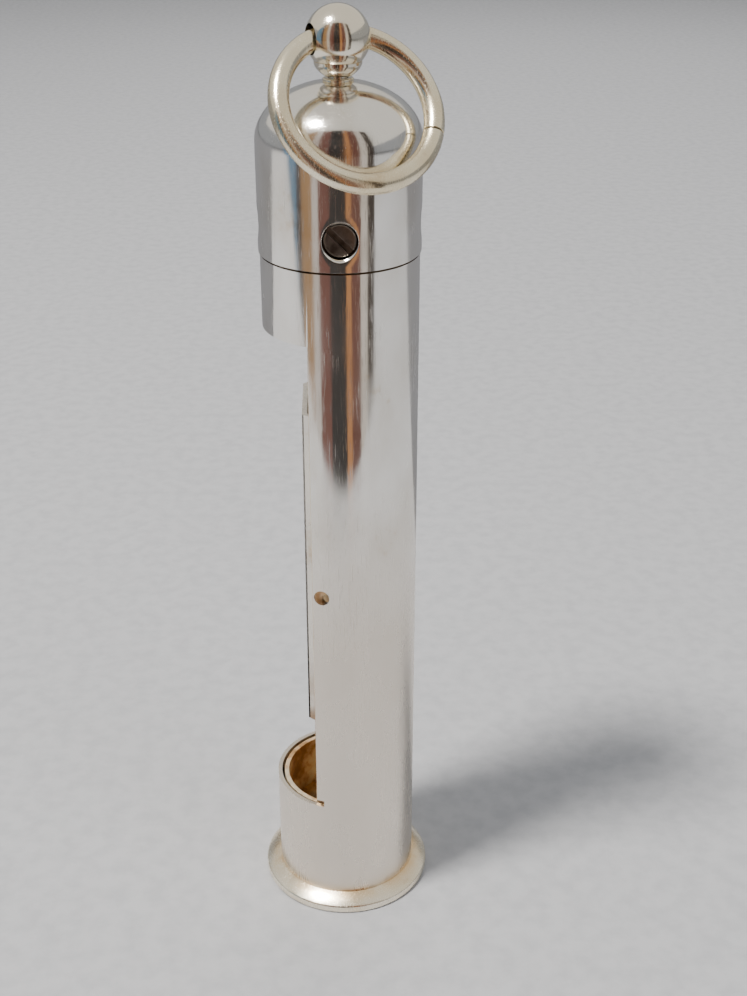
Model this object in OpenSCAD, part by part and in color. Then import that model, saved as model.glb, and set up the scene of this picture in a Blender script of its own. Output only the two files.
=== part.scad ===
// Cylindrical silver pocket whistle: a windowed barrel on a flanged mouth foot, a domed cap
// held by four screws, and a ball finial that carries a ring. Millimetres, +Z up.
// The origin is the centre of the foot's underside. The window faces -X.

/* [Barrel] */
// Outside diameter of the barrel
barrel_d = 16; // [15:0.1:20]
// Wall of the barrel
barrel_wall = 0.45; // [0.35:0.05:0.6]
// Height of the barrel's top edge above the table
barrel_top = 77.8; // [74:0.1:94]

/* [Window] */
// Height of the window's sill
sill_h = 14.1; // [12:0.1:17]
// Height of the window opening
window_len = 56.2; // [50:0.1:58]
// Distance of the window's cut plane from the axis
window_face = 3.3; // [2.8:0.1:3.8]
// Width of the relief cut at the sill's corners
relief_w = 0.8; // [0.4:0.1:1]
// Height of the relief cut at the sill's corners
relief_h = 0.8; // [0.4:0.1:2]

/* [Sight hole] */
// Diameter of the hole in the barrel's wall
sight_d = 1.7; // [1.2:0.1:2]
// Height of the hole
sight_h = 42; // [35:0.5:50]
// Turn of the hole from the front towards the window, in degrees
sight_turn = 17.2; // [10:0.1:19]

/* [Liner] */
// Gap between barrel and liner, which is the windway
windway = 0.3; // [0.2:0.05:0.4]
// Wall of the liner
liner_wall = 0.5; // [0.35:0.05:0.6]
// Number of breath ports round the liner's foot
port_count = 6; // [4:1:8]
// Diameter of each breath port
port_d = 1.8; // [1.2:0.1:2]

/* [Resonator] */
// Gap between liner and resonator
resonator_gap = 0.95; // [0.5:0.05:1.2]
// Distance of its flat front from the axis
resonator_face = 4.0; // [3.7:0.1:4.4]
// Wall of the resonator
resonator_wall = 0.5; // [0.4:0.05:0.6]
// Length of the resonator tube
resonator_len = 37.6; // [32:0.1:40]
// Gap from the sill up to the resonator's lip
mouth_gap = 10.1; // [8:0.1:12]
// Depth of the head below the resonator's top rim
head_depth = 4.5; // [3:0.1:6]

/* [Foot] */
// How far the flange stands out from the barrel's surface
flange_w = 1.85; // [1.5:0.05:3]
// Thickness of the flange at its rim
foot_rim = 1.05; // [0.9:0.05:1.4]
// Rise of the flange's sloping top from its rim to the barrel
foot_slope = 0.85; // [0.5:0.05:1.2]
// Diameter of the breath hole
breath_d = 9; // [7:0.1:10]

/* [Cap] */
// How far the cap stands out from the barrel's surface
cap_proud = 0.15; // [0:0.05:0.3]
// Wall of the cap
cap_wall = 1; // [0.9:0.05:1.2]
// Gap at the seam between barrel and cap
seam_gap = 0.25; // [0.1:0.05:0.4]
// Height of the cap's straight skirt
skirt_h = 10.8; // [9.5:0.1:12]
// Rise of the dome above the skirt
dome_h = 5.6; // [4.5:0.1:6.2]

/* [Cap screws] */
// Diameter of each screw hole
screw_hole_d = 3.5; // [3.1:0.1:3.8]
// Radial gap between each screw head and its hole
screw_head_gap = 0.15; // [0.05:0.05:0.3]
// How far the screw heads lie below the cap's surface
screw_sink = 0.4; // [0.2:0.05:0.6]
// Diameter of each screw shank
screw_shank_d = 1.8; // [1.4:0.1:2]
// Height of the screws above the cap's lower edge
screw_rise = 3; // [2.5:0.1:4]

/* [Finial] */
// Diameter of the ball
ball_d = 6.2; // [5.6:0.1:6.6]
// Diameter of the cup that carries the ball
cup_d = 4.6; // [4:0.1:5.2]
// Height from the dome's top to the ball's centre
ball_rise = 3.9; // [3.8:0.1:4.8]
// Diameter of the swivel stem
stem_d = 1.8; // [1.4:0.1:2]
// Turn of the finial about the axis at rest, in degrees
finial_turn = 23; // [0:1:45]

/* [Ring] */
// Diameter of the ring's wire
wire_d = 2; // [1.6:0.1:2.2]
// Outside diameter of the ring
ring_d = 17.2; // [16.6:0.1:21]
// Radial play of the wire in the ball's bore
ring_play = 0.1; // [0.05:0.05:0.25]
// Open join between the wire's ends
ring_join = 0.15; // [0.1:0.05:0.5]
// Place of the join below the ring's right side, in degrees
ring_join_turn = 25; // [0:5:60]
// Gap between the resting ring and the cap's skirt
ring_rest = 0.15; // [0.1:0.05:1]

/* [Hidden] */
$fn = 96;

// General
overcut = 1;                 // how far a cutting solid runs past what it cuts
cap_gap = 0.04;              // radial clearance of the plug in the cap
swivel_gap = 0.08;           // radial clearance of the swivel stem

// Barrel, window and liner
barrel_r = barrel_d / 2;
bore_r = barrel_r - barrel_wall;
window_top = sill_h + window_len;
liner_r = bore_r - windway;
liner_in_r = liner_r - liner_wall;
liner_sill_drop = 0.15;      // the liner's window is this much longer at each end
liner_hole_d = 1.6;          // smaller hole behind the barrel's sight hole, a little out of line
liner_hole_turn = 5;
liner_hole_drop = 0.5;
liner_cut_back = 0.05;       // the liner's cut plane stands this far outside the barrel's

// Foot
foot_floor = 1.2;            // thickness of the floor under the barrel's end
foot_r = barrel_r + flange_w;
foot_edge_r = 0.3;           // rounding of the flange's rim
foot_lip = 0.25;             // flat left round the barrel at the top of the slope
bush_len = 2.8;              // how far the breath bush runs up the barrel
bush_top = foot_floor + bush_len;
port_rise = 0.5;             // wall left below and above the breath ports
port_h = bush_top + port_rise + port_d / 2;
baffle_z = port_h + port_d / 2 + port_rise;
baffle_t = 0.8;

// Resonator
resonator_r = liner_in_r - resonator_gap;
lip_z = sill_h + mouth_gap;
resonator_top = lip_z + resonator_len;
head_t = 0.8;
head_z = resonator_top - head_depth - head_t;
rod_end = 0.6;               // rod showing below the lower nut
rod_r = 1.2;
nut_r = 2.2;
nut_t = 1.4;

// Cap and its plug
cap_r = barrel_r + cap_proud;
cap_in_r = cap_r - cap_wall;
cap_z = barrel_top + seam_gap;
dome_z = cap_z + skirt_h;
dome_top = dome_z + dome_h;
dome_t = 1.1;                // wall at the crown of the dome
dome_in_h = dome_h - dome_t;
plug_r = cap_in_r - cap_gap;
plug_len = 5.8;              // how far the plug runs down the barrel
plug_z = barrel_top - plug_len;
plug_land = 1.8;             // plug left above the screws
plug_rise = screw_rise + screw_hole_d / 2 + plug_land;
plug_top = cap_z + plug_rise;
plug_in_r = 3.6;             // hollow above the plug's floor
plug_floor = 4;

// Screws
screw_z = cap_z + screw_rise;
screw_head_d = screw_hole_d - 2 * screw_head_gap;
screw_seat = sqrt(plug_r * plug_r - screw_hole_d * screw_hole_d / 4);   // spot face on the plug
screw_head_t = cap_r - screw_seat - screw_sink;
screw_shank_len = 1.9;
slot_w = 0.6;
slot_t = 0.45;
hole_flare = 0.25;           // chamfer round each screw hole
slot_turns = [-45, 20, 70, -10];   // how far each slot is turned, from the front screw round

// Finial
ball_r = ball_d / 2;
ball_z = dome_top + ball_rise;
washer_r = 1.5;
washer_t = 0.35;
washer_sink = 0.02;          // depth of its flat seat at the edge
washer_z = dome_top - dome_drop(cap_r, dome_h, washer_r) - washer_sink;
neck_gap = 0.25;             // gap between washer and cup
cup_z = washer_z + washer_t + neck_gap;
cup_foot_r = 1.4;
cup_r = cup_d / 2;
cup_ledge = 0.05;            // step between the cup's rim and the ball
cup_rim_z = ball_z - sqrt(ball_r * ball_r - cup_r * cup_r) - cup_ledge;
cup_lip = 0.25;
stem_root = 0.1;             // stem left inside the cup
burr_r = 1.9;
burr_t = 0.8;
burr_gap = 0.15;
burr_z = dome_z + dome_in_h - dome_drop(cap_in_r, dome_in_h, burr_r) - burr_gap - burr_t;

// Ring: round wire hung from the ball's cross bore
wire_r = wire_d / 2;
ring_r = ring_d / 2 - wire_r;                      // radius of the wire's centre line
sagitta = arc_drop(ring_r, ball_r);
ring_bore_r = wire_r + sagitta / 2 + ring_play;    // the wire turns freely in the ball
join_angle = ring_join * 180 / PI / ring_r;
ring_drop = 2 * ring_r - sagitta / 2;              // from the ball's centre to the wire at the bottom
ring_lean = asin((cap_r + wire_r + ring_rest) / ring_drop);

// How far an elliptical dome has dropped at a distance from its axis
function dome_drop(radius, rise, distance) = rise * (1 - sqrt(1 - pow(distance / radius, 2)));

// How far an arc has dropped at a distance from its top
function arc_drop(radius, distance) = radius - sqrt(radius * radius - distance * distance);

// Everything on the window's side of a plane x = -face, between two heights
module window_cut(face, z_low, z_high) {
    reach = barrel_r + overcut;
    translate([-face - reach, -reach, z_low])
        cube([reach, 2 * reach, z_high - z_low]);
}

module tube(r_out, r_in, z_low, z_high) {
    difference() {
        translate([0, 0, z_low]) cylinder(r = r_out, h = z_high - z_low);
        translate([0, 0, z_low - overcut]) cylinder(r = r_in, h = z_high - z_low + 2 * overcut);
    }
}

// A radial drilling at a turn from the front, at a height
module radial(turn, z) {
    translate([0, 0, z]) rotate([0, 0, turn - 90]) rotate([0, 90, 0]) children();
}

module barrel() {
    color("silver") difference() {
        tube(barrel_r, bore_r, foot_floor, barrel_top);
        window_cut(window_face, sill_h, window_top);
        window_cut(window_face - relief_w, sill_h, sill_h + relief_h);
        radial(-sight_turn, sight_h) cylinder(d = sight_d, h = 2 * barrel_r);
    }
}

// Flange with a round edge, a top that slopes up to the barrel and a floor round the breath hole
module foot() {
    breath_r = breath_d / 2;
    collar_z = foot_rim + foot_slope;
    edge_x = foot_r - foot_edge_r;
    color("silver") rotate_extrude() difference() {
        union() {
            translate([breath_r, 0]) square([edge_x - breath_r, foot_rim]);
            translate([breath_r, foot_edge_r]) square([foot_r - breath_r, foot_rim - 2 * foot_edge_r]);
            for (z = [foot_edge_r, foot_rim - foot_edge_r]) translate([edge_x, z]) circle(r = foot_edge_r);
            polygon([
                [breath_r, 0], [edge_x, foot_rim], [barrel_r + foot_lip, collar_z], [breath_r, collar_z]
            ]);
        }
        translate([0, foot_floor]) square([barrel_r, collar_z]);
    }
}

// Bush that closes the foot of the windway and carries the liner
module breath_bush() {
    color("goldenrod") difference() {
        translate([0, 0, foot_floor]) cylinder(r = bore_r, h = bush_len);
        translate([0, 0, foot_floor - overcut]) cylinder(d = breath_d, h = bush_len + 2 * overcut);
    }
}

module liner() {
    color("tan") difference() {
        tube(liner_r, liner_in_r, bush_top, plug_z);
        window_cut(window_face + liner_cut_back, sill_h - liner_sill_drop, window_top + liner_sill_drop);
        for (i = [0 : port_count - 1])
            radial((i + 0.5) * 360 / port_count, port_h) cylinder(d = port_d, h = barrel_r);
        radial(liner_hole_turn - sight_turn, sight_h - liner_hole_drop)
            cylinder(d = liner_hole_d, h = barrel_r);
    }
}

// Disc that turns the breath out through the ports
module baffle() {
    color("goldenrod") translate([0, 0, baffle_z]) cylinder(r = liner_in_r, h = baffle_t);
}

// D-shaped outline of the resonator, shrunk by an offset
module d_outline(shrink) {
    r = resonator_r - shrink;
    intersection() {
        circle(r = r);
        translate([-resonator_face + shrink, -r]) square([r + resonator_face, 2 * r]);
    }
}

module resonator() {
    color("gainsboro") translate([0, 0, lip_z]) difference() {
        linear_extrude(resonator_len) d_outline(0);
        translate([0, 0, -overcut]) linear_extrude(resonator_len + 2 * overcut) d_outline(resonator_wall);
    }
}

module resonator_head() {
    color("gainsboro") translate([0, 0, head_z]) difference() {
        linear_extrude(head_t) d_outline(resonator_wall);
        translate([0, 0, -overcut]) cylinder(r = rod_r, h = head_t + 2 * overcut);
    }
}

module hanger_rod() {
    low = head_z - nut_t - rod_end;
    color("goldenrod") translate([0, 0, low]) cylinder(r = rod_r, h = plug_z + plug_floor - low);
}

module rod_nut(z) {
    color("goldenrod") translate([0, 0, z]) difference() {
        cylinder(r = nut_r, h = nut_t, $fn = 6);
        translate([0, 0, -overcut]) cylinder(r = rod_r, h = nut_t + 2 * overcut, $fn = 96);
    }
}

// Plug that joins barrel and cap: a shoulder for the cap, a floor for the rod, four tapped holes
module top_plug() {
    color("goldenrod") difference() {
        rotate([0, 0, 45]) union() {
            translate([0, 0, plug_z]) cylinder(r = bore_r, h = cap_z - plug_z);
            translate([0, 0, cap_z]) cylinder(r = plug_r, h = plug_top - cap_z);
        }
        translate([0, 0, plug_z + plug_floor]) cylinder(r = plug_in_r, h = plug_top);
        translate([0, 0, plug_z - overcut]) cylinder(r = rod_r, h = plug_floor + 2 * overcut);
        for (i = [0 : 3]) radial(90 * i, screw_z) {
            cylinder(d = screw_shank_d, h = barrel_r);
            translate([0, 0, screw_seat]) cylinder(d = screw_hole_d, h = barrel_r);
        }
    }
}

// Half section of a dome, a quarter of an ellipse
module dome_section(radius, rise) {
    steps = 24;
    polygon(concat(
        [[0, 0]], [for (i = [0 : steps]) [radius * cos(90 * i / steps), rise * sin(90 * i / steps)]]
    ));
}

module cap() {
    color("silver") difference() {
        rotate([0, 0, 45]) rotate_extrude() {
            translate([cap_in_r, cap_z]) square([cap_wall, skirt_h]);
            translate([0, dome_z]) difference() {
                dome_section(cap_r, dome_h);
                dome_section(cap_in_r, dome_in_h);
            }
        }
        translate([0, 0, dome_z]) cylinder(d = stem_d + 2 * swivel_gap, h = 2 * dome_h);
        translate([0, 0, washer_z]) cylinder(r = washer_r, h = dome_h);
        for (i = [0 : 3]) radial(90 * i, screw_z) {
            cylinder(d = screw_hole_d, h = 2 * cap_r);
            translate([0, 0, cap_r - hole_flare])
                cylinder(d1 = screw_hole_d, d2 = screw_hole_d + 4 * hole_flare, h = 2 * hole_flare);
        }
    }
}

// Cheese-head screw, its slot turned, seated on the plug through the cap's hole
module cap_screw(quarter) {
    color("dimgray") radial(90 * quarter, screw_z) difference() {
        union() {
            translate([0, 0, screw_seat]) cylinder(d = screw_head_d, h = screw_head_t);
            translate([0, 0, screw_seat - screw_shank_len])
                cylinder(d = screw_shank_d, h = screw_shank_len + slot_t);
        }
        translate([0, 0, screw_seat + screw_head_t]) rotate([0, 0, slot_turns[quarter]])
            cube([slot_w, screw_head_d + overcut, 2 * slot_t], center = true);
    }
}

module dome_washer() {
    color("silver") tube(washer_r, stem_d / 2 + swivel_gap, washer_z, washer_z + washer_t);
}

// Ball, cup and swivel stem turned from one piece, cross-bored for the ring
module ball_finial() {
    color("silver") difference() {
        union() {
            translate([0, 0, ball_z]) sphere(r = ball_r);
            rotate_extrude() polygon([
                [0, cup_z], [cup_foot_r, cup_z], [cup_r, cup_rim_z - cup_lip],
                [cup_r, cup_rim_z], [0, ball_z]
            ]);
            translate([0, 0, burr_z]) cylinder(d = stem_d, h = cup_z - burr_z + stem_root);
        }
        translate([0, 0, ball_z]) rotate([0, 0, finial_turn]) rotate([0, 90, 0])
            cylinder(r = ring_bore_r, h = ball_d + 2 * overcut, center = true);
    }
}

// Collar riveted on the stem's lower end, inside the cap
module swivel_burr() {
    color("goldenrod") tube(burr_r, stem_d / 2, burr_z, burr_z + burr_t);
}

// Wire ring with an open butt join, leaning against the dome
module ring() {
    color("silver")
        translate([0, 0, ball_z]) rotate([0, 0, finial_turn]) rotate([90 - ring_lean, 0, 0])
            translate([0, -ring_r + sagitta / 2, 0])
                rotate([0, 0, join_angle / 2 - ring_join_turn]) rotate_extrude(angle = 360 - join_angle)
                    translate([ring_r, 0]) circle(r = wire_r, $fn = 48);
}

barrel();
foot();
breath_bush();
liner();
baffle();
resonator();
resonator_head();
hanger_rod();
rod_nut(head_z + head_t);  // rod_nut_upper
rod_nut(head_z - nut_t);  // rod_nut_lower
top_plug();
cap();
cap_screw(0);  // cap_screw_front
cap_screw(1);  // cap_screw_right
cap_screw(2);  // cap_screw_back
cap_screw(3);  // cap_screw_left
dome_washer();
ball_finial();
swivel_burr();
ring();
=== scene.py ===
"""Looks of a cylindrical silver pocket call whistle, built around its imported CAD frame.

Turned, drawn and sawn silver pieces replace the plain ones of the frame. The pieces that stay hidden
inside keep the frame's meshes and get a finish. All lengths are metres, in the frame's own axes.
"""

from __future__ import annotations

import logging
import math
from dataclasses import dataclass
from enum import Enum
from typing import Dict, List, Optional, Sequence, Tuple

import bpy
from mathutils import Matrix, Vector

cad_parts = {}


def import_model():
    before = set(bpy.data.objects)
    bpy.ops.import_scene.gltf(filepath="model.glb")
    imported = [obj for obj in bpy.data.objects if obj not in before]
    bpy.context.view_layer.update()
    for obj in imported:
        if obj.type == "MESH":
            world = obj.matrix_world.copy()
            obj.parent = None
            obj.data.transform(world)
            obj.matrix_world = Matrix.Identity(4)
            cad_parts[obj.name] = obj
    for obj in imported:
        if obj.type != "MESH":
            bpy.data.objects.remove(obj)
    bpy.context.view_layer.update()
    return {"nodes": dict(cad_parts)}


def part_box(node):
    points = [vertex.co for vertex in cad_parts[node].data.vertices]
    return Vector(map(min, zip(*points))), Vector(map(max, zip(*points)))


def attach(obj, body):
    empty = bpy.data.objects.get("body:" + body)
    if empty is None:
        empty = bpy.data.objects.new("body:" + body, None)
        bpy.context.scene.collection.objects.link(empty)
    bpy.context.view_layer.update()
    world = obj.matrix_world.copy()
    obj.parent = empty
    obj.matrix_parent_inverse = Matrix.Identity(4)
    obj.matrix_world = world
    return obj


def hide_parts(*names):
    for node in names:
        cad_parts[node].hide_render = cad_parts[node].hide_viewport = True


LOG = logging.getLogger("whistle")
MM = 0.001
WELD = 1e-6
Point = Tuple[float, float]
Place = Tuple[float, float, float]
Colour = Tuple[float, float, float]


class Body(Enum):
    """Rigid bodies of the frame."""

    WHISTLE = "whistle"
    FINIAL = "finial"
    RING = "ring"


class Slot(Enum):
    """Material slots of the record."""

    POLISHED = "polished_silver"
    FOOT = "foot_silver"
    RESONATOR = "resonator_silver"
    TARNISHED = "tarnished_silver"
    BRASS = "gilt_brass"
    # near-black brass for the plug behind the cap's seam: painted shade in the seam gap
    DARK_BRASS = "tarnished_brass"
    STEEL = "blued_steel"
    RING = "ring_silver"


class Quarter(Enum):
    """Places of the cap screws, with their turn from the front and the turn of their slots in degrees."""

    FRONT = ("cap_screw_front", 0.0, -45.0)
    RIGHT = ("cap_screw_right", 90.0, 20.0)
    BACK = ("cap_screw_back", 180.0, 70.0)
    LEFT = ("cap_screw_left", 270.0, -10.0)


# ---------------------------------------------------------------- bench tools


class Bench:
    """Modelling steps that every sub-assembly shares."""

    @staticmethod
    def clear() -> None:
        """Deselects every object."""
        bpy.ops.object.select_all(action="DESELECT")

    @staticmethod
    def pick(piece: bpy.types.Object) -> None:
        """Selects one object alone and makes it active.

        Args:
            piece: the object.
        """
        Bench.clear()
        piece.select_set(True)
        bpy.context.view_layer.objects.active = piece

    @staticmethod
    def named(name: str) -> bpy.types.Object:
        """Names the active object and its mesh.

        Args:
            name: the new name.

        Returns:
            The object.
        """
        piece = bpy.context.object
        piece.name = name
        piece.data.name = name
        return piece

    @staticmethod
    def settle(piece: bpy.types.Object) -> None:
        """Moves an object's place, turn and scale into its mesh."""
        Bench.pick(piece)
        bpy.ops.object.transform_apply(location=True, rotation=True, scale=True)

    @staticmethod
    def turned(name: str, outline: Sequence[Point], steps: int) -> bpy.types.Object:
        """Turns a half section round the Z axis, as on a lathe.

        Args:
            name: name of the new object.
            outline: radius and height of each point, in metres.
            steps: number of steps round the axis.

        Returns:
            The turned object, closed where its outline is.
        """
        Bench.clear()
        bpy.ops.mesh.primitive_plane_add(size=MM)
        piece = Bench.named(name)
        bpy.ops.object.mode_set(mode="EDIT")
        bpy.ops.mesh.select_all(action="SELECT")
        bpy.ops.mesh.merge(type="CENTER")
        radius, height = outline[0]
        bpy.ops.transform.translate(value=(radius, 0.0, height))
        for (r0, z0), (r1, z1) in zip(outline, outline[1:]):
            step = {"value": (r1 - r0, 0.0, z1 - z0)}
            bpy.ops.mesh.extrude_vertices_move(TRANSFORM_OT_translate=step)
        bpy.ops.mesh.select_all(action="SELECT")
        bpy.ops.mesh.spin(steps=steps, angle=math.tau, center=(0.0, 0.0, 0.0), axis=(0.0, 0.0, 1.0))
        bpy.ops.mesh.select_all(action="SELECT")
        bpy.ops.mesh.remove_doubles(threshold=WELD)
        bpy.ops.mesh.normals_make_consistent(inside=False)
        bpy.ops.object.mode_set(mode="OBJECT")
        return piece

    @staticmethod
    def cube(name: str, low: Sequence[float], high: Sequence[float]) -> bpy.types.Object:
        """Adds a block between two corners, with its place in its mesh.

        Args:
            name: name of the new object.
            low: the block's lowest corner.
            high: its highest corner.

        Returns:
            The block.
        """
        centre = [(a + b) / 2 for a, b in zip(low, high)]
        Bench.clear()
        bpy.ops.mesh.primitive_cube_add(size=1.0, location=centre, scale=[b - a for a, b in zip(low, high)])
        block = Bench.named(name)
        Bench.settle(block)
        return block

    @staticmethod
    def rod(name: str, radius: float, low: float, high: float, steps: int) -> bpy.types.Object:
        """Adds a round bar along the Z axis, with its place in its mesh.

        Args:
            name: name of the new object.
            radius: radius of the bar.
            low: height of its lower end.
            high: height of its upper end.
            steps: number of its sides.

        Returns:
            The bar.
        """
        Bench.clear()
        bpy.ops.mesh.primitive_cylinder_add(vertices=steps, radius=radius, depth=high - low,
                                            location=(0.0, 0.0, (low + high) / 2))
        bar = Bench.named(name)
        Bench.settle(bar)
        return bar

    @staticmethod
    def boolean(piece: bpy.types.Object, cutter: bpy.types.Object) -> None:
        """Cuts a piece and throws the cutter away.

        Args:
            piece: the piece to cut.
            cutter: the solid to take away from it.
        """
        Bench.pick(piece)
        modifier = piece.modifiers.new("cut", "BOOLEAN")
        modifier.operation = "DIFFERENCE"
        modifier.solver = "EXACT"
        modifier.object = cutter
        bpy.ops.object.modifier_apply(modifier=modifier.name)
        bpy.data.objects.remove(cutter)

    @staticmethod
    def ease_edges(piece: bpy.types.Object, width: float, angle: float = 40.0) -> None:
        """Rounds every sharp edge of a piece.

        Args:
            piece: the piece.
            width: width of the rounding.
            angle: edges sharper than this many degrees are rounded.
        """
        Bench.pick(piece)
        modifier = piece.modifiers.new("ease", "BEVEL")
        modifier.width = width
        modifier.segments = 2
        modifier.limit_method = "ANGLE"
        modifier.angle_limit = math.radians(angle)
        modifier.use_clamp_overlap = True
        bpy.ops.object.modifier_apply(modifier=modifier.name)

    @staticmethod
    def smooth(piece: bpy.types.Object, angle: float = 20.0) -> None:
        """Shades a piece smooth up to an angle in degrees."""
        Bench.pick(piece)
        bpy.ops.object.shade_smooth_by_angle(angle=math.radians(angle))

    @staticmethod
    def turn(piece: bpy.types.Object, matrix: Matrix) -> None:
        """Places a piece's mesh by a matrix and leaves its object at the origin."""
        piece.matrix_world = matrix
        Bench.settle(piece)


def arc(centre: Point, radius: float, start: float, stop: float, steps: int) -> List[Point]:
    """Lays points along an arc of a half section.

    Args:
        centre: radius and height of the arc's centre.
        radius: the arc's own radius.
        start: first angle in degrees, from the outward direction towards up.
        stop: last angle in degrees.
        steps: number of steps along the arc.

    Returns:
        The points, with both ends.
    """
    angles = [math.radians(start + (stop - start) * i / steps) for i in range(steps + 1)]
    return [(centre[0] + radius * math.cos(a), centre[1] + radius * math.sin(a)) for a in angles]


def swelled(start: Point, stop: Point, swell: Point, steps: int) -> List[Point]:
    """Lays points along a line that swells towards its middle.

    Args:
        start: the first point.
        stop: the last point.
        swell: how far the middle moves outward and up.
        steps: number of steps along the line.

    Returns:
        The points, with both ends.
    """
    parts = [i / steps for i in range(steps + 1)]
    return [tuple(a + (b - a) * part + most * math.sin(math.pi * part)
                  for a, b, most in zip(start, stop, swell)) for part in parts]


def radial_matrix(turn: float, height: float) -> Matrix:
    """Matrix that lays the Z axis along a radius, at a turn in degrees from the front and a height."""
    around = Matrix.Rotation(math.radians(turn - 90.0), 4, "Z")
    return Matrix.Translation((0.0, 0.0, height)) @ around @ Matrix.Rotation(math.pi / 2, 4, "Y")


# ---------------------------------------------------------------- finishes


class Sketch:
    """A material's node tree, drawn a node at a time."""

    def __init__(self, name: str) -> None:
        """Starts a material with its principled shader and its object coordinates.

        Args:
            name: name of the material.
        """
        self.material = bpy.data.materials.new(name)
        self.material.use_nodes = True
        self.tree = self.material.node_tree
        self.shader = self.tree.nodes["Principled BSDF"]
        self.place = self.tree.nodes.new("ShaderNodeTexCoord").outputs["Object"]

    def set(self, **values: object) -> None:
        """Sets constant values on the shader, each name with underscores for spaces."""
        for name, value in values.items():
            self.shader.inputs[name.replace("_", " ")].default_value = value

    def link(self, source: bpy.types.NodeSocket, name: str) -> None:
        """Links a socket to a named input of the shader."""
        self.tree.links.new(source, self.shader.inputs[name])

    def node(self, kind: str, **inputs: object) -> bpy.types.Node:
        """Adds a node to the tree.

        Args:
            kind: type of the node.
            inputs: value of each input by name, or by "i" and its number; a socket is linked.

        Returns:
            The node.
        """
        node = self.tree.nodes.new(kind)
        for name, value in inputs.items():
            numbered = name[0] == "i" and name[1:].isdigit()
            self.feed(node.inputs[int(name[1:]) if numbered else name], value)
        return node

    def feed(self, socket: bpy.types.NodeSocket, value: object) -> None:
        """Links another socket to an input, or sets the input's value.

        Args:
            socket: the input.
            value: a socket to link, or a constant.
        """
        if isinstance(value, bpy.types.NodeSocket):
            self.tree.links.new(value, socket)
        else:
            socket.default_value = value

    def stretched(
        self, scale: Sequence[float], turn: Sequence[float] = (0.0, 0.0, 0.0)
    ) -> bpy.types.NodeSocket:
        """Object coordinates, turned and then scaled.

        Args:
            scale: scale along each axis.
            turn: turn about each axis, in degrees.

        Returns:
            The coordinates.
        """
        mapping = self.node("ShaderNodeMapping", Vector=self.place)
        mapping.inputs["Scale"].default_value = scale
        mapping.inputs["Rotation"].default_value = [math.radians(a) for a in turn]
        return mapping.outputs["Vector"]

    def noise(self, where: bpy.types.NodeSocket, scale: float, detail: float = 4.0) -> bpy.types.NodeSocket:
        """A noise pattern's value."""
        return self.node("ShaderNodeTexNoise", Vector=where, Scale=scale, Detail=detail).outputs[0]

    def ranged(
        self, value: bpy.types.NodeSocket, low: float, high: float, to_low: float, to_high: float
    ) -> bpy.types.NodeSocket:
        """A value mapped, with clamping, from one range to another."""
        return self.node("ShaderNodeMapRange", i0=value, i1=low, i2=high, i3=to_low, i4=to_high).outputs[0]

    def maths(self, operation: str, first: object, second: object) -> bpy.types.NodeSocket:
        """Does a mathematical operation on two values.

        Args:
            operation: name of the operation.
            first: a socket or a number.
            second: a socket or a number.

        Returns:
            The result.
        """
        node = self.tree.nodes.new("ShaderNodeMath")
        node.operation = operation
        self.feed(node.inputs[0], first)
        self.feed(node.inputs[1], second)
        return node.outputs[0]

    def blend(self, factor: bpy.types.NodeSocket, first: object, second: object) -> bpy.types.NodeSocket:
        """Mixes two colours.

        Args:
            factor: 0 for the first colour, 1 for the second.
            first: a socket or a colour.
            second: a socket or a colour.

        Returns:
            The mix.
        """
        node = self.tree.nodes.new("ShaderNodeMix")
        node.data_type = "RGBA"
        self.feed(node.inputs[0], factor)
        for number, value in ((6, first), (7, second)):
            constant = not isinstance(value, bpy.types.NodeSocket)
            self.feed(node.inputs[number], (*value, 1.0) if constant else value)
        return node.outputs[2]

    def axis_parts(self) -> Tuple[bpy.types.NodeSocket, bpy.types.NodeSocket]:
        """Measures a point's place along the whistle.

        Returns:
            Distance from the whistle's axis, and height above its foot.
        """
        parts = self.node("ShaderNodeSeparateXYZ", Vector=self.place)
        across = self.maths("MULTIPLY", parts.outputs[0], parts.outputs[0])
        along = self.maths("MULTIPLY", parts.outputs[1], parts.outputs[1])
        return self.maths("SQRT", self.maths("ADD", across, along), 0.0), parts.outputs[2]

    def bump(
        self, height: bpy.types.NodeSocket, depth: float, below: Optional[bpy.types.NodeSocket] = None
    ) -> bpy.types.NodeSocket:
        """Bumps the normal by a real depth.

        Args:
            height: the pattern, from 0 to 1.
            depth: its depth in metres.
            below: a normal that the bump lies over, if there is one.

        Returns:
            The normal.
        """
        node = self.node("ShaderNodeBump", Strength=1.0, Distance=depth, Height=height)
        if below is not None:
            self.tree.links.new(below, node.inputs["Normal"])
        return node.outputs[0]


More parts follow.
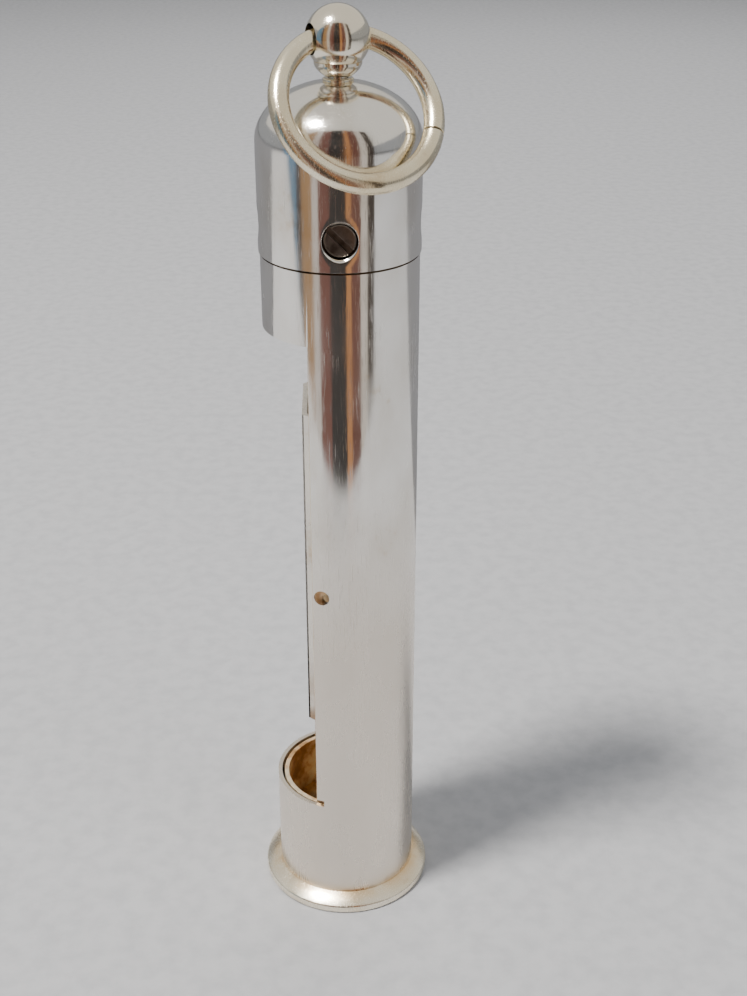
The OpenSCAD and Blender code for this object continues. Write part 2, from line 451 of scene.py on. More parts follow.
@dataclass(frozen=True)
class Silver:
    """A silver surface: its tint, polish, handling marks and tarnish."""

    name: str
    tint: Colour = (0.93, 0.905, 0.86)
    shade: Colour = (0.80, 0.76, 0.69)
    polish: float = 0.07
    dullest: float = 0.2
    scratches: float = 0.0000006
    dents: float = 0.00002
    stain: Colour = (0.60, 0.42, 0.24)
    stain_low: float = 0.68
    stain_high: float = 0.86
    most_stain: float = 0.8
    scratch_dulling: float = 0.12

    def material(self) -> bpy.types.Material:
        """Builds the surface.

        Returns:
            The material.
        """
        s = Sketch(self.name)
        s.set(Metallic=1.0, IOR=1.5)
        cloud = s.noise(s.stretched((1.0, 1.0, 0.6)), 190.0, 6.0)
        speck = s.noise(s.stretched((1.0, 1.0, 1.0), (20, 35, 0)), 900.0, 3.0)
        clean = s.blend(s.ranged(cloud, 0.42, 0.7, 0.0, 1.0), self.tint, self.shade)
        spotted = s.maths("ADD", s.maths("MULTIPLY", cloud, 0.75), s.maths("MULTIPLY", speck, 0.35))
        stained = s.ranged(spotted, self.stain_low, self.stain_high, 0.0, self.most_stain)
        s.link(self.overlay(s, s.blend(stained, clean, self.stain)), "Base Color")
        lines = self.handling(s)
        haze = s.ranged(s.noise(s.stretched((1.0, 1.0, 0.4), (0, 0, 30)), 320.0, 5.0), 0.35, 0.75,
                        self.polish, self.dullest)
        rough = s.maths("ADD", haze, s.maths("MULTIPLY", lines, self.scratch_dulling))
        s.link(self.dulled(s, rough), "Roughness")
        soft = s.bump(s.noise(s.stretched((1.0, 1.0, 0.5)), 110.0, 1.0), self.dents)
        s.link(s.bump(lines, self.scratches, soft), "Normal")
        return s.material

    def overlay(self, s: Sketch, colour: bpy.types.NodeSocket) -> bpy.types.NodeSocket:
        """Colour with whatever lies over the plain silver, which is nothing here."""
        return colour

    def dulled(self, s: Sketch, roughness: bpy.types.NodeSocket) -> bpy.types.NodeSocket:
        """Roughness with whatever wear adds to it, which is nothing here."""
        return roughness

    def handling(self, s: Sketch) -> bpy.types.NodeSocket:
        """Draws fine scratches from handling and polishing, in three directions.

        Args:
            s: the material being drawn.

        Returns:
            The scratches, 1 in each and 0 between them.
        """
        total = None
        for turn, threshold in (((0, 0, 0), 0.62), ((0, 28, 15), 0.66), ((55, 0, -20), 0.67)):
            line = s.noise(s.stretched((6.0, 6.0, 0.22), turn), 1500.0, 2.0)
            cut = s.ranged(line, threshold, threshold + 0.05, 0.0, 1.0)
            total = cut if total is None else s.maths("MAXIMUM", total, cut)
        return total


@dataclass(frozen=True)
class BarrelSilver(Silver):
    """Silver of the barrel, warmer in colour and more satin towards the foot."""

    satin_low: float = 36.0 * MM
    satin_high: float = 56.0 * MM
    satin: float = 0.16
    warm: Colour = (0.79, 0.71, 0.61)
    finial_low: float = 93.5 * MM
    finial_high: float = 96.0 * MM
    cream: Colour = (0.95, 0.87, 0.70)

    def toward_foot(self, s: Sketch) -> bpy.types.NodeSocket:
        """How far down towards the foot a point lies, from 0 near the cap to 1 near the foot."""
        _, height = s.axis_parts()
        return s.ranged(height, self.satin_low, self.satin_high, 1.0, 0.0)

    def overlay(self, s: Sketch, colour: bpy.types.NodeSocket) -> bpy.types.NodeSocket:
        """Warms the barrel towards its foot, and the ball and cup.

        Args:
            s: the material being drawn.
            colour: the plain silver's colour.

        Returns:
            The colour with both laid over it.
        """
        _, height = s.axis_parts()
        warmed_low = s.blend(s.maths("MULTIPLY", self.toward_foot(s), 0.85), colour, self.warm)
        return s.blend(s.ranged(height, self.finial_low, self.finial_high, 0.0, 0.8), warmed_low, self.cream)

    def dulled(self, s: Sketch, roughness: bpy.types.NodeSocket) -> bpy.types.NodeSocket:
        """Dulls the barrel towards its foot."""
        return s.maths("ADD", roughness, s.maths("MULTIPLY", self.toward_foot(s), self.satin))


@dataclass(frozen=True)
class FootSilver(Silver):
    """Silver of the foot, with warm tarnish held against the barrel."""

    inner_radius: float = 8.2 * MM
    clean_radius: float = 9.5 * MM
    tarnish: Colour = (0.84, 0.62, 0.36)

    def overlay(self, s: Sketch, colour: bpy.types.NodeSocket) -> bpy.types.NodeSocket:
        """Lays the tarnish over the colour.

        Args:
            s: the material being drawn.
            colour: the plain silver's colour.

        Returns:
            The tarnished colour.
        """
        radius, _ = s.axis_parts()
        patchy = s.ranged(s.noise(s.place, 420.0, 6.0), 0.3, 0.62, 0.15, 1.0)
        near = s.ranged(radius, self.inner_radius, self.clean_radius, 1.0, 0.0)
        return s.blend(s.maths("MULTIPLY", near, patchy), colour, self.tarnish)


@dataclass(frozen=True)
class ResonatorSilver(Silver):
    """Silver of the resonator, brown up from its lip: partly tarnish, partly painted shade of the dark well
    it stands in.
    """

    lip: float = 24.2 * MM
    tarnish_and_shade_end: float = 33.0 * MM
    # painted shade: the brown is partly tarnish, partly the shade of the dark well round the resonator's
    # lower end
    brown: Colour = (0.34, 0.20, 0.10)

    def overlay(self, s: Sketch, colour: bpy.types.NodeSocket) -> bpy.types.NodeSocket:
        """Lays the brown over the colour, tarnish and painted shade in one.

        Args:
            s: the material being drawn.
            colour: the plain silver's colour.

        Returns:
            The colour, browned towards the lip.
        """
        _, height = s.axis_parts()
        patchy = s.ranged(s.noise(s.place, 520.0, 6.0), 0.32, 0.6, 0.25, 1.0)
        # browner towards the lip: tarnish with painted shade of the well
        near = s.ranged(height, self.lip, self.tarnish_and_shade_end, 0.9, 0.0)
        return s.blend(s.maths("MULTIPLY", near, patchy), colour, self.brown)


@dataclass(frozen=True)
class Tarnish:
    """Brown, orange and cream bloom on the liner, mixed at random."""

    name: str
    bright: Colour = (0.90, 0.78, 0.58)
    orange: Colour = (0.80, 0.50, 0.24)
    brown: Colour = (0.46, 0.27, 0.13)

    def material(self) -> bpy.types.Material:
        """Builds the surface.

        Returns:
            The material.
        """
        s = Sketch(self.name)
        s.set(Metallic=1.0, IOR=1.5)
        wide = s.noise(s.stretched((1.0, 1.0, 0.7)), 260.0, 5.0)
        fine = s.noise(s.place, 1400.0, 4.0)
        mixed = s.maths("ADD", s.maths("MULTIPLY", wide, 0.75), s.maths("MULTIPLY", fine, 0.25))
        warm = s.blend(s.ranged(mixed, 0.42, 0.56, 0.0, 1.0), self.orange, self.bright)
        deep = s.blend(s.ranged(mixed, 0.5, 0.38, 0.0, 1.0), warm, self.brown)
        s.link(deep, "Base Color")
        s.link(s.ranged(fine, 0.3, 0.7, 0.42, 0.6), "Roughness")
        s.link(s.bump(fine, 0.000004), "Normal")
        return s.material


@dataclass(frozen=True)
class TurnedMetal:
    """Brass or steel from the lathe, with fine rings left by the tool."""

    name: str
    tint: Colour
    grime: Colour
    roughness: float
    ring_pitch: float = 42000.0
    ring_depth: float = 0.0000012

    def material(self) -> bpy.types.Material:
        """Builds the surface.

        Returns:
            The material.
        """
        s = Sketch(self.name)
        s.set(Metallic=1.0, IOR=1.5)
        radius, height = s.axis_parts()
        run = s.maths("MULTIPLY", s.maths("ADD", radius, height), self.ring_pitch)
        rings = s.maths("SINE", run, 0.0)
        patch = s.noise(s.place, 600.0, 6.0)
        s.link(s.blend(s.ranged(patch, 0.45, 0.68, 0.0, 1.0), self.tint, self.grime), "Base Color")
        s.link(s.ranged(patch, 0.3, 0.75, self.roughness, self.roughness + 0.25), "Roughness")
        s.link(s.bump(rings, self.ring_depth), "Normal")
        return s.material


@dataclass(frozen=True)
class Ground:
    """Pale matte table top."""

    name: str = "table_top"
    tint: Colour = (0.43, 0.43, 0.438)
    fleck: Colour = (0.385, 0.385, 0.395)

    def material(self) -> bpy.types.Material:
        """Builds the surface.

        Returns:
            The material.
        """
        s = Sketch(self.name)
        s.set(Roughness=0.62, Specular_IOR_Level=0.0)
        grain = s.noise(s.place, 420.0, 5.0)
        s.link(s.blend(s.ranged(grain, 0.4, 0.66, 0.0, 1.0), self.tint, self.fleck), "Base Color")
        s.link(s.bump(s.noise(s.place, 2600.0, 3.0), 0.00002), "Normal")
        return s.material


class Finishes:
    """Every finish of the whistle, made once and shared."""

    def __init__(self) -> None:
        """Builds the materials."""
        self.by_slot: Dict[Slot, bpy.types.Material] = {
            Slot.POLISHED: BarrelSilver("polished_silver").material(),
            Slot.FOOT: FootSilver("foot_silver", tint=(0.97, 0.90, 0.75), shade=(0.88, 0.78, 0.60),
                                  polish=0.17, dullest=0.30, scratches=0.0000015).material(),
            Slot.RESONATOR: ResonatorSilver("resonator_silver", tint=(0.90, 0.84, 0.75), polish=0.18,
                                            dullest=0.34, stain_low=0.6, stain_high=0.76).material(),
            Slot.TARNISHED: Tarnish("tarnished_silver").material(),
            Slot.BRASS: TurnedMetal("gilt_brass", tint=(0.72, 0.53, 0.27), grime=(0.22, 0.14, 0.07),
                                    roughness=0.24).material(),
            # painted shade: the plug's near-black brass darkens the seam gap between cap and barrel
            Slot.DARK_BRASS: TurnedMetal("tarnished_brass", tint=(0.12, 0.085, 0.055),
                                         grime=(0.04, 0.028, 0.02), roughness=0.4).material(),
            Slot.STEEL: TurnedMetal("blued_steel", tint=(0.24, 0.21, 0.18), grime=(0.06, 0.045, 0.035),
                                    roughness=0.26).material(),
            Slot.RING: Silver("ring_silver", tint=(0.95, 0.87, 0.68), shade=(0.84, 0.72, 0.50), polish=0.15,
                              dullest=0.28, scratches=0.0000014, dents=0.000012).material(),
        }

    def dress(self, piece: bpy.types.Object, slot: Slot) -> None:
        """Gives a piece one finish all over."""
        piece.data.materials.clear()
        piece.data.materials.append(self.by_slot[slot])


# ---------------------------------------------------------------- sub-assemblies


@dataclass
class SubAssembly:
    """What every group of pieces knows: the finishes, and how a piece takes a node's place."""

    finishes: Finishes

    def fit(self, piece: bpy.types.Object, node: str, body: Body, slot: Slot) -> None:
        """Dresses a piece, lets it ride on its body and stand for a node of the frame.

        Args:
            piece: the finished piece.
            node: the node that it replaces.
            body: the body that it moves with.
            slot: the material slot of its finish.
        """
        self.finishes.dress(piece, slot)
        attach(piece, body.value)
        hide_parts(node)
        LOG.info("%s stands for %s on %s", piece.name, node, body.value)


@dataclass
class Tubes(SubAssembly):
    """The barrel, the liner behind it and the D-shaped resonator in the window."""

    wall: float = 0.45 * MM
    liner_wall: float = 0.5 * MM
    resonator_wall: float = 0.5 * MM
    sill: float = 14.1 * MM
    window_length: float = 56.2 * MM
    window_face: float = 3.3 * MM
    relief: Point = (0.8 * MM, 0.8 * MM)
    sight_radius: float = 0.85 * MM
    sight_height: float = 42.0 * MM
    sight_turn: float = -17.2
    liner_hole_radius: float = 0.8 * MM
    liner_hole_turn: float = -12.2
    liner_hole_height: float = 41.5 * MM
    liner_lap: float = 0.15 * MM
    liner_back: float = 0.05 * MM
    port_count: int = 6
    port_radius: float = 0.9 * MM
    port_height: float = 5.4 * MM
    edge: float = 0.05 * MM
    tool_reach: float = 12 * MM
    drill_steps: int = 48
    steps: int = 240

    def build(self) -> None:
        """Builds the three tubes."""
        self.barrel()
        self.liner()
        self.resonator()

    def tube(self, name: str, node: str, wall: float) -> bpy.types.Object:
        """Turns a plain tube of a node's diameter and length.

        Args:
            name: name of the new object.
            node: the node that gives its size.
            wall: thickness of its wall.

        Returns:
            The tube.
        """
        low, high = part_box(node)
        outer, inner = high[0], high[0] - wall
        section = [(inner, low[2]), (outer, low[2]), (outer, high[2]), (inner, high[2]), (inner, low[2])]
        return Bench.turned(name, section, self.steps)

    def open_window(self, piece: bpy.types.Object, face: float, low: float, high: float) -> None:
        """Saws away all of a tube beyond a plane on the window's side, between two heights."""
        reach = self.tool_reach
        Bench.boolean(piece, Bench.cube("saw", (-face - reach, -reach, low), (-face, reach, high)))

    def drill(self, piece: bpy.types.Object, turn: float, height: float, radius: float) -> None:
        """Drills a radial hole through one wall of a tube.

        Args:
            piece: the tube.
            turn: turn of the hole from the front, in degrees.
            height: height of the hole.
            radius: radius of the hole.
        """
        drill = Bench.rod("drill", radius, 0.0, self.tool_reach, self.drill_steps)
        Bench.turn(drill, radial_matrix(turn, height))
        Bench.boolean(piece, drill)

    def barrel(self) -> None:
        """Barrel: tube, window with relieved corners, sight hole, eased edges."""
        piece = self.tube("barrel_tube", "barrel", self.wall)
        self.open_window(piece, self.window_face, self.sill, self.sill + self.window_length)
        self.open_window(piece, self.window_face - self.relief[0], self.sill, self.sill + self.relief[1])
        self.drill(piece, self.sight_turn, self.sight_height, self.sight_radius)
        Bench.ease_edges(piece, self.edge)
        Bench.smooth(piece)
        self.fit(piece, "barrel", Body.WHISTLE, Slot.POLISHED)

    def liner(self) -> None:
        """Liner: tube, window a little longer than the barrel's, breath ports and a small hole."""
        piece = self.tube("liner_tube", "liner", self.liner_wall)
        low, high = self.sill - self.liner_lap, self.sill + self.window_length + self.liner_lap
        self.open_window(piece, self.window_face + self.liner_back, low, high)
        for i in range(self.port_count):
            self.drill(piece, (i + 0.5) * 360 / self.port_count, self.port_height, self.port_radius)
        self.drill(piece, self.liner_hole_turn, self.liner_hole_height, self.liner_hole_radius)
        Bench.ease_edges(piece, self.edge)
        Bench.smooth(piece)
        self.fit(piece, "liner", Body.WHISTLE, Slot.TARNISHED)

    def resonator(self) -> None:
        """Resonator: a D-shaped tube with a flat front."""
        low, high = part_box("resonator")
        radius, face = high[0], -low[0]
        piece = self.flat_sided("resonator_tube", radius, face, low[2], high[2])
        over = MM
        core = self.flat_sided("core", radius - self.resonator_wall, face - self.resonator_wall,
                               low[2] - over, high[2] + over)
        Bench.boolean(piece, core)
        Bench.ease_edges(piece, 2 * self.edge)
        Bench.smooth(piece)
        self.fit(piece, "resonator", Body.WHISTLE, Slot.RESONATOR)

    def flat_sided(self, name: str, radius: float, face: float, low: float, high: float) -> bpy.types.Object:
        """Makes a round bar with a flat sawn along the window's side.

        Args:
            name: name of the new object.
            radius: radius of the bar.
            face: distance of the flat from the axis.
            low: height of its lower end.
            high: height of its upper end.

        Returns:
            The bar.
        """
        bar = Bench.rod(name, radius, low, high, self.steps)
        bpy.ops.object.mode_set(mode="EDIT")
        bpy.ops.mesh.select_all(action="SELECT")
        bpy.ops.mesh.bisect(plane_co=(-face, 0.0, 0.0), plane_no=(-1.0, 0.0, 0.0), use_fill=True,
                            clear_outer=True)
        bpy.ops.object.mode_set(mode="OBJECT")
        return bar


@dataclass
class Foot(SubAssembly):
    """The turned flange with its reeded rim and a crowned top that slopes up to the barrel."""

    breath_radius: float = 4.5 * MM
    barrel_radius: float = 8.0 * MM
    floor: float = 1.2 * MM
    rim: float = 1.05 * MM
    slope: float = 0.85 * MM
    collar: float = 0.25 * MM
    crown: float = 0.06 * MM
    rim_round: float = 0.3 * MM
    reeds: int = 220
    reed_depth: float = 0.09 * MM
    reed_reach: float = 0.12 * MM

    def build(self) -> None:
        """Turns the foot and presses the reeds into its rim."""
        _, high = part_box("foot")
        radius = high[0]
        edge_x = radius - self.rim_round
        low_edge = arc((edge_x, self.rim_round), self.rim_round, -90, 0, steps=6)
        collar_x, collar_z = self.barrel_radius + self.collar, self.rim + self.slope
        tilt = math.degrees(math.atan2(self.slope, edge_x - collar_x))
        high_edge = arc((edge_x, self.rim - self.rim_round), self.rim_round, 0, 90 - tilt, steps=5)
        outline = [(self.breath_radius, 0.0)] + low_edge + high_edge
        outline += swelled(high_edge[-1], (collar_x, collar_z), (0.0, self.crown), steps=8)[1:]
        outline += [(self.barrel_radius, collar_z), (self.barrel_radius, self.floor),
                    (self.breath_radius, self.floor), (self.breath_radius, 0.0)]
        piece = Bench.turned("foot_flange", outline, 2 * self.reeds)
        self.reed(piece, radius)
        Bench.smooth(piece)
        self.fit(piece, "foot", Body.WHISTLE, Slot.FOOT)

    def reed(self, piece: bpy.types.Object, radius: float) -> None:
        """Draws every other line of the rim in, which leaves a fine reeding.

        Args:
            piece: the flange.
            radius: radius of its rim.
        """
        column = math.tau / (2 * self.reeds)
        for vertex in piece.data.vertices:
            x, y, z = vertex.co
            on_rim = math.hypot(x, y) > radius - self.reed_reach and z > self.rim_round / 2
            vertex.select = on_rim and round(math.atan2(y, x) / column) % 2 == 1
        Bench.pick(piece)
        bpy.ops.object.mode_set(mode="EDIT")
        draw = 1.0 - self.reed_depth / radius
        bpy.ops.transform.resize(value=(draw, draw, 1.0), center_override=(0.0, 0.0, 0.0))
        bpy.ops.object.mode_set(mode="OBJECT")


@dataclass
class Cap(SubAssembly):
    """The domed cap with four chamfered screw holes, and the screws in them."""

    wall: float = 1.0 * MM
    skirt: float = 10.8 * MM
    crown_wall: float = 1.1 * MM
    stem_hole: float = 0.98 * MM
    screw_rise: float = 3.0 * MM
    hole_radius: float = 1.75 * MM
    flare: float = 0.25 * MM
    head_radius: float = 1.6 * MM
    shank_radius: float = 0.9 * MM
    sink: float = 0.4 * MM
    slot_width: float = 0.6 * MM
    slot_depth: float = 0.45 * MM
    plug_gap: float = 0.04 * MM
    head_ease: float = 0.22 * MM
    edge: float = 0.04 * MM
    slot_edge: float = 0.03 * MM
    slot_angle: float = 50.0
    row_spread: float = 1.2
    least_shank_end: float = 2 * MM
    cutter_steps: int = 64
    screw_steps: int = 72
    steps: int = 240

    def build(self) -> None:
        """Builds the cap and its four screws."""
        low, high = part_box("cap")
        self.radius, self.base, self.top = high[0], low[2], high[2]
        self.dome()
        for quarter in Quarter:
            self.screw(quarter)

    def dome_arc(self, radius: float, rise: float, start: float) -> List[Point]:
        """Lays points along the dome's elliptical section.

        Args:
            radius: the dome's radius at the skirt.
            rise: the full ellipse's rise above the skirt.
            start: radius near the axis where the section ends.

        Returns:
            The points, from the skirt's top up.
        """
        stop, steps = math.acos(start / radius), 40
        angles = [stop * i / steps for i in range(steps + 1)]
        base = self.base + self.skirt
        return [(radius * math.cos(a), base + rise * math.sin(a)) for a in angles]

    def dome(self) -> None:
        """Turns the cap and drills its holes."""
        inner = self.radius - self.wall
        rise = self.crown_rise()
        outside = self.dome_arc(self.radius, rise, self.washer_radius())
        inside = self.dome_arc(inner, rise - self.crown_wall, self.stem_hole)
        seat = outside[-1][1]
        screw_z, band = self.base + self.screw_rise, self.row_spread * (self.hole_radius + self.flare)
        rows = [(self.radius, screw_z - band), (self.radius, screw_z + band)]
        outline = [(inner, self.base), (self.radius, self.base)] + rows + outside
        outline += [(self.stem_hole, seat)] + inside[::-1] + [(inner, self.base)]
        piece = Bench.turned("cap_shell", outline, self.steps)
        Bench.turn(piece, Matrix.Rotation(math.pi / self.steps, 4, "Z"))
        for quarter in Quarter:
            Bench.boolean(piece, self.hole_cutter(quarter.value[1]))
        Bench.ease_edges(piece, self.edge)
        Bench.smooth(piece)
        self.fit(piece, "cap", Body.WHISTLE, Slot.POLISHED)

    def crown_rise(self) -> float:
        """Rise of the dome as an ellipse, whose crown the washer's seat has cut off."""
        seat_rise = self.top - self.base - self.skirt
        return seat_rise / math.sqrt(1 - (self.washer_radius() / self.radius) ** 2)

    def washer_radius(self) -> float:
        """Radius of the washer's seat."""
        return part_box("dome_washer")[1][0]

    def hole_cutter(self, turn: float) -> bpy.types.Object:
        """Makes the cutter for one screw hole, a drill with a flared end.

        Args:
            turn: turn of the hole from the front, in degrees.

        Returns:
            The cutter.
        """
        near, wide = self.radius - self.flare, self.hole_radius + 2 * self.flare
        outline = [(0.0, self.radius - 3 * self.wall), (self.hole_radius, self.radius - 3 * self.wall),
                   (self.hole_radius, near), (wide, near + 2 * self.flare), (0.0, near + 2 * self.flare)]
        cutter = Bench.turned("cutter", outline, self.cutter_steps)
        Bench.turn(cutter, radial_matrix(turn, self.base + self.screw_rise))
        return cutter

    def screw(self, quarter: Quarter) -> None:
        """Turns a cheese-head screw with a rounded head and saws its slot.

        Args:
            quarter: the screw's place.
        """
        node, turn, slot_turn = quarter.value
        low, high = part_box(node)
        sides = (low[0], low[1], high[0], high[1])
        shank_end = min(abs(v) for v in sides if abs(v) > self.least_shank_end)
        top = self.radius - self.sink
        seat = math.sqrt((self.radius - self.wall - self.plug_gap) ** 2 - self.hole_radius ** 2)
        ease = self.head_ease
        head = arc((self.head_radius - ease, top - ease), ease, 0, 90, steps=6)
        outline = [(0.0, shank_end), (self.shank_radius, shank_end), (self.shank_radius, seat),
                   (self.head_radius, seat)] + head + [(0.0, top)]
        piece = Bench.turned(node.replace("cap_screw", "screw"), outline, self.screw_steps)
        half, over = self.slot_width / 2, 2 * self.head_radius
        saw = Bench.cube("saw", (-half, -over, top - self.slot_depth), (half, over, top + self.slot_depth))
        Bench.turn(saw, Matrix.Rotation(math.radians(slot_turn), 4, "Z"))
        Bench.boolean(piece, saw)
        Bench.ease_edges(piece, self.slot_edge, self.slot_angle)
        Bench.smooth(piece)
        Bench.turn(piece, radial_matrix(turn, self.base + self.screw_rise))
        self.fit(piece, node, Body.WHISTLE, Slot.STEEL)


@dataclass
class Finial(SubAssembly):
    """Washer, ball on its cup, and the wire ring through the ball."""

    ball_radius: float = 3.1 * MM
    cup_radius: float = 2.3 * MM
    cup_foot: float = 1.4 * MM
    cup_ledge: float = 0.05 * MM
    cup_lip: float = 0.25 * MM
    cup_swell: float = 0.16 * MM
    neck: float = 0.25 * MM
    stem_radius: float = 0.9 * MM
    stem_hole: float = 0.98 * MM
    wire: float = 1.0 * MM
    ring_radius: float = 7.6 * MM
    play: float = 0.1 * MM
    rest_gap: float = 0.15 * MM
    turn: float = 23.0
    join: float = 0.15 * MM
    join_turn: float = 25.0
    join_reach: float = 1.6
    bore_edge: float = 0.02 * MM
    join_edge: float = 0.1 * MM
    join_angle: float = 50.0
    washer_steps: int = 96
    ball_steps: int = 128
    bore_steps: int = 96
    ring_steps: int = 256
    wire_steps: int = 40

    def build(self) -> None:
        """Builds the washer, the ball and the ring."""
        low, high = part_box("ball_finial")
        self.centre = high[2] - self.ball_radius
        self.stem_end = low[2]
        self.cup_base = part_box("dome_washer")[1][2] + self.neck
        self.sag = self.ring_radius - math.sqrt(self.ring_radius ** 2 - self.ball_radius ** 2)
        self.washer()
        self.ball()
        self.ring()

    def washer(self) -> None:
        """Thin washer with a rounded rim."""
        low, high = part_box("dome_washer")
        ease = (high[2] - low[2]) / 3
        rim = arc((high[0] - ease, low[2] + ease), ease, -90, 0, steps=5)
        rim += arc((high[0] - ease, high[2] - ease), ease, 0, 90, steps=5)
        outline = [(self.stem_hole, low[2])] + rim + [(self.stem_hole, high[2]), (self.stem_hole, low[2])]
        piece = Bench.turned("crown_washer", outline, self.washer_steps)
        Bench.smooth(piece)
        self.fit(piece, "dome_washer", Body.WHISTLE, Slot.RING)

    def ball(self) -> None:
        """Ball, bowl-shaped cup and stem, turned in one and bored across."""
        rim = self.centre - math.sqrt(self.ball_radius ** 2 - self.cup_radius ** 2) - self.cup_ledge
        bowl = swelled((self.cup_foot, self.cup_base), (self.cup_radius, rim - self.cup_lip),
                       (self.cup_swell, 0.0), steps=12)
        start = -math.degrees(math.asin((self.centre - rim) / self.ball_radius))
        sphere = arc((0.0, self.centre), self.ball_radius, start, 90, steps=64)
        outline = [(0.0, self.stem_end), (self.stem_radius, self.stem_end), (self.stem_radius, self.cup_base)]
        outline += bowl + [(self.cup_radius, rim)] + sphere
        piece = Bench.turned("ball_and_cup", outline, self.ball_steps)
        Bench.boolean(piece, self.bore())
        Bench.ease_edges(piece, self.bore_edge)
        Bench.smooth(piece)
        self.fit(piece, "ball_finial", Body.FINIAL, Slot.POLISHED)

    def bore(self) -> bpy.types.Object:
        """Makes the cutter for the ball's cross bore.

        Returns:
            The cutter.
        """
        radius, reach = self.wire + self.sag / 2 + self.play, 2 * self.ball_radius
        bore = Bench.rod("bore", radius, -reach, reach, self.bore_steps)
        across = Matrix.Rotation(math.radians(self.turn), 4, "Z") @ Matrix.Rotation(math.pi / 2, 4, "Y")
        Bench.turn(bore, Matrix.Translation((0.0, 0.0, self.centre)) @ across)
        return bore

    def ring(self) -> None:
        """Drawn wire bent round to an open butt join, leaning on the cap."""
        Bench.clear()
        bpy.ops.mesh.primitive_torus_add(major_segments=self.ring_steps, minor_segments=self.wire_steps,
                                         major_radius=self.ring_radius, minor_radius=self.wire)
        piece = Bench.named("wire_ring")
        reach = self.join_reach * self.wire
        saw = Bench.cube("saw", (self.ring_radius - reach, -self.join / 2, -reach),
                         (self.ring_radius + reach, self.join / 2, reach))
        Bench.turn(saw, Matrix.Rotation(-math.radians(self.join_turn), 4, "Z"))
        Bench.boolean(piece, saw)
        Bench.ease_edges(piece, self.join_edge, self.join_angle)
        Bench.smooth(piece)
        drop = 2 * self.ring_radius - self.sag / 2
        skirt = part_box("cap")[1][0]
        lean = math.asin((skirt + self.wire + self.rest_gap) / drop)
        place = Matrix.Translation((0.0, 0.0, self.centre)) @ Matrix.Rotation(math.radians(self.turn), 4, "Z")
        place = place @ Matrix.Rotation(math.pi / 2 - lean, 4, "X")
        Bench.turn(piece, place @ Matrix.Translation((0.0, self.sag / 2 - self.ring_radius, 0.0)))
        self.fit(piece, "ring", Body.RING, Slot.RING)


@dataclass
class Insides(SubAssembly):
    """Pieces of the frame that keep their meshes and take a finish."""

    def build(self, nodes: Dict[str, bpy.types.Object]) -> None:
        """Dresses the frame's own pieces.

        Args:
            nodes: the frame's objects by node name.
        """
        kept = {
            # top_plug takes the near-black brass: painted shade in the seam between cap and barrel
            "breath_bush": Slot.BRASS, "baffle": Slot.BRASS, "top_plug": Slot.DARK_BRASS,
            "hanger_rod": Slot.BRASS, "rod_nut_upper": Slot.BRASS, "rod_nut_lower": Slot.BRASS,
            "swivel_burr": Slot.BRASS, "resonator_head": Slot.RESONATOR,
        }
        for node, slot in kept.items():
            self.finishes.dress(nodes[node], slot)
            LOG.info("%s keeps its mesh, finished as %s", node, slot.value)


# ---------------------------------------------------------------- studio


# Cards in front: directions of both sides in degrees from the front towards +X, and the colour.
CARDS: Tuple[Tuple[float, float, Colour], ...] = (
    (-78.0, -60.0, (0.10, 0.22, 0.36)), (-60.0, -53.0, (0.035, 0.028, 0.03)),
    (-53.0, -38.0, (0.36, 0.20, 0.08)), (-38.0, -29.0, (0.62, 0.56, 0.52)),
    (-29.0, -14.0, (0.15, 0.05, 0.035)), (-14.0, 8.0, (0.012, 0.009, 0.009)),
    (8.0, 15.0, (0.50, 0.22, 0.08)), (15.0, 28.0, (0.14, 0.05, 0.035)),
    (28.0, 38.0, (0.66, 0.60, 0.54)), (38.0, 48.0, (0.03, 0.018, 0.012)),
)


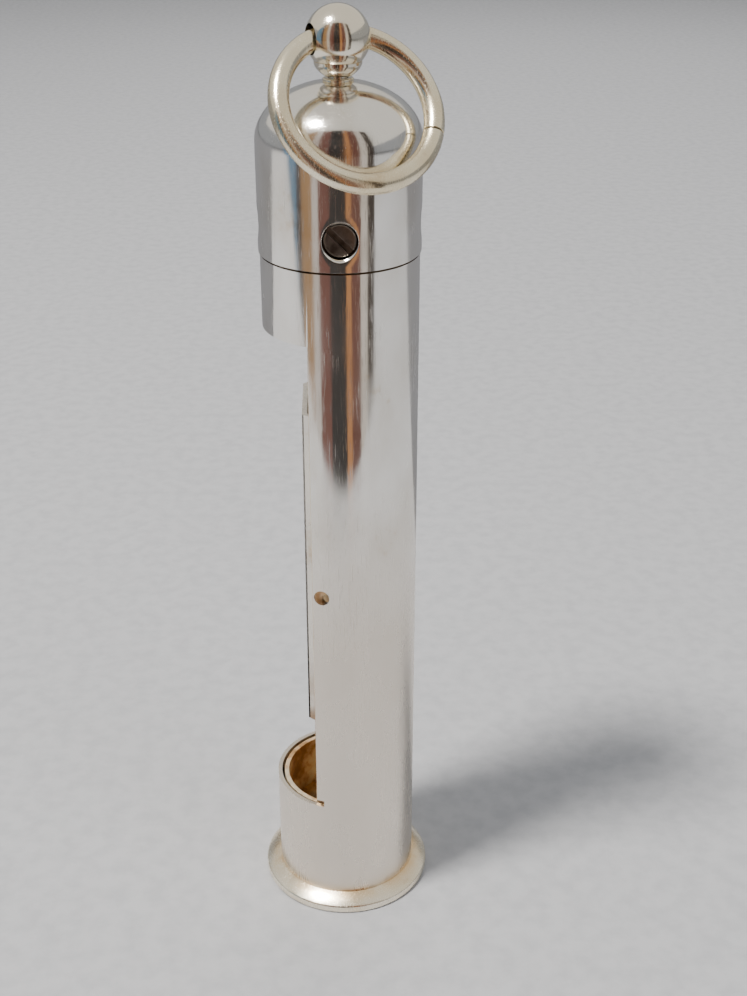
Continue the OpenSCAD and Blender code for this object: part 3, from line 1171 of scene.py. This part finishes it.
@dataclass
class Studio:
    """Floor, camera, lights and the cards that the polished silver mirrors."""

    camera_place: Place = (0.0, -0.1407, 0.1216)
    heading: float = 1.36
    dip: float = 26.96
    lens: float = 52.6
    sensor: float = 36.0
    clip: float = 0.01
    aim: Place = (0.0, 0.0, 0.05)
    sky: Colour = (0.78, 0.80, 0.83)
    sky_strength: float = 0.4
    floor_size: float = 6.0
    table_edge: float = 0.115
    card_lift: float = 0.0006
    wall: float = 0.62
    wall_height: float = 1.1
    ceiling_reach: float = 3.0
    ceiling_height: float = 1.15
    ceiling: Colour = (0.80, 0.77, 0.71)
    shade_near: float = 0.08
    shade_far: float = 1.5
    shade: Colour = (0.27, 0.27, 0.285)
    glow_strength: float = 0.9

    def build(self) -> None:
        """Sets up everything that isn't the whistle."""
        self.floor()
        self.camera()
        self.lights()
        self.cards()

    def floor(self) -> None:
        """Plain pale floor."""
        Bench.clear()
        bpy.ops.mesh.primitive_plane_add(size=self.floor_size)
        floor = Bench.named("floor")
        floor.data.materials.append(Ground().material())

    def camera(self) -> None:
        """Camera at a low downward angle, close in front."""
        data = bpy.data.cameras.new("camera")
        data.lens = self.lens
        data.sensor_width = self.sensor
        data.clip_start = self.clip
        camera = bpy.data.objects.new("camera", data)
        bpy.context.scene.collection.objects.link(camera)
        heading, dip = math.radians(self.heading), math.radians(self.dip)
        view = Vector((math.sin(heading) * math.cos(dip), math.cos(heading) * math.cos(dip), -math.sin(dip)))
        camera.location = self.camera_place
        camera.rotation_euler = view.to_track_quat("-Z", "Y").to_euler()
        bpy.context.scene.camera = camera

    def lights(self) -> None:
        """Soft key from the upper left, a broad fill, a light from behind and a pale world."""
        self.area("key", place=(-0.30, -0.16, 0.75), size=0.15, power=11.0, colour=(1.0, 0.975, 0.94))
        self.area("fill", place=(0.45, -0.35, 0.42), size=0.5, power=1.5, colour=(0.93, 0.96, 1.0))
        self.area("back", place=(0.1, 0.55, 0.45), size=0.5, power=1.6, colour=(1.0, 1.0, 1.0))
        world = bpy.data.worlds.new("room")
        world.use_nodes = True
        backdrop = world.node_tree.nodes["Background"]
        backdrop.inputs["Color"].default_value = (*self.sky, 1.0)
        backdrop.inputs["Strength"].default_value = self.sky_strength
        bpy.context.scene.world = world

    def area(self, name: str, place: Place, size: float, power: float, colour: Colour) -> None:
        """Adds a round area light that faces the middle of the whistle.

        Only the key is mirrored, so that the silver shows one highlight from a light.

        Args:
            name: name of the light.
            place: where it hangs.
            size: its diameter.
            power: its power in watts.
            colour: its colour.
        """
        data = bpy.data.lights.new(name, "AREA")
        data.size = size
        data.energy = power
        data.color = colour
        data.shape = "DISK"
        light = bpy.data.objects.new(name, data)
        light.visible_glossy = name == "key"
        bpy.context.scene.collection.objects.link(light)
        light.location = place
        light.rotation_euler = (Vector(self.aim) - Vector(place)).to_track_quat("-Z", "Y").to_euler()

    def cards(self) -> None:
        """Coloured cards in front, a pale ceiling and a dark card behind, seen only in reflections."""
        for index, (start, stop, colour) in enumerate(CARDS):
            paint = self.glow(f"card_{index}", colour)
            flat, upright = self.strip_corners(start, stop)
            self.card(f"card_{index}", flat, paint)
            self.card(f"upright_{index}", upright, paint)
        half, high = self.ceiling_reach, self.ceiling_height
        above = [(-half, -half, high), (half, -half, high), (half, half, high), (-half, half, high)]
        self.card("ceiling", above, self.glow("ceiling", self.ceiling))
        near, far, lift = self.shade_near, self.shade_far, self.card_lift
        behind = [(-far, near, lift), (far, near, lift), (far, far, lift), (-far, far, lift)]
        self.card("shade", behind, self.glow("shade", self.shade))

    def strip_corners(self, start: float, stop: float) -> Tuple[List[Place], List[Place]]:
        """Places a strip's two cards, one flat from the table's edge out and one upright where it ends.

        Args:
            start: direction of its left side, in degrees from the front towards +X.
            stop: direction of its right side.

        Returns:
            Corners of the flat card and of the upright one, in order round each.
        """
        near, far = [], []
        for angle in (start, stop):
            a = math.radians(angle)
            edge = self.table_edge / math.cos(a)
            near.append((edge * math.sin(a), -self.table_edge, self.card_lift))
            far.append((self.wall * math.tan(a), -self.wall, self.card_lift))
        left, right = far[0][0], far[1][0]
        upright = [(left, -self.wall, 0.0), (right, -self.wall, 0.0),
                   (right, -self.wall, self.wall_height), (left, -self.wall, self.wall_height)]
        return [near[0], near[1], far[1], far[0]], upright

    def glow(self, name: str, colour: Colour) -> bpy.types.Material:
        """Makes a plain glowing surface.

        Args:
            name: name of the material.
            colour: colour of the glow.

        Returns:
            The material.
        """
        sketch = Sketch(name)
        sketch.set(Roughness=0.9, Base_Color=(0.0, 0.0, 0.0, 1.0))
        sketch.set(Emission_Color=(*colour, 1.0), Emission_Strength=self.glow_strength)
        return sketch.material

    def card(self, name: str, corners: Sequence[Place], paint: bpy.types.Material) -> None:
        """Lays one card.

        Args:
            name: name of the card.
            corners: its corners, in order round it.
            paint: its material.
        """
        Bench.clear()
        bpy.ops.mesh.primitive_plane_add(size=1.0)
        card = Bench.named(name)
        order = (0, 1, 3, 2)
        for index, corner in zip(order, corners):
            card.data.vertices[index].co = corner
        card.data.materials.append(paint)
        for ray in ("camera", "diffuse", "transmission", "volume_scatter", "shadow"):
            setattr(card, f"visible_{ray}", False)


def main() -> None:
    """Builds the whistle and its studio."""
    logging.basicConfig(level=logging.INFO, format="%(name)s: %(message)s")
    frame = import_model()
    finishes = Finishes()
    Studio().build()
    assemblies: List[SubAssembly] = [Tubes(finishes), Foot(finishes), Cap(finishes), Finial(finishes)]
    for assembly in assemblies:
        assembly.build()
    Insides(finishes).build(frame["nodes"])


if __name__ == "__main__":
    main()
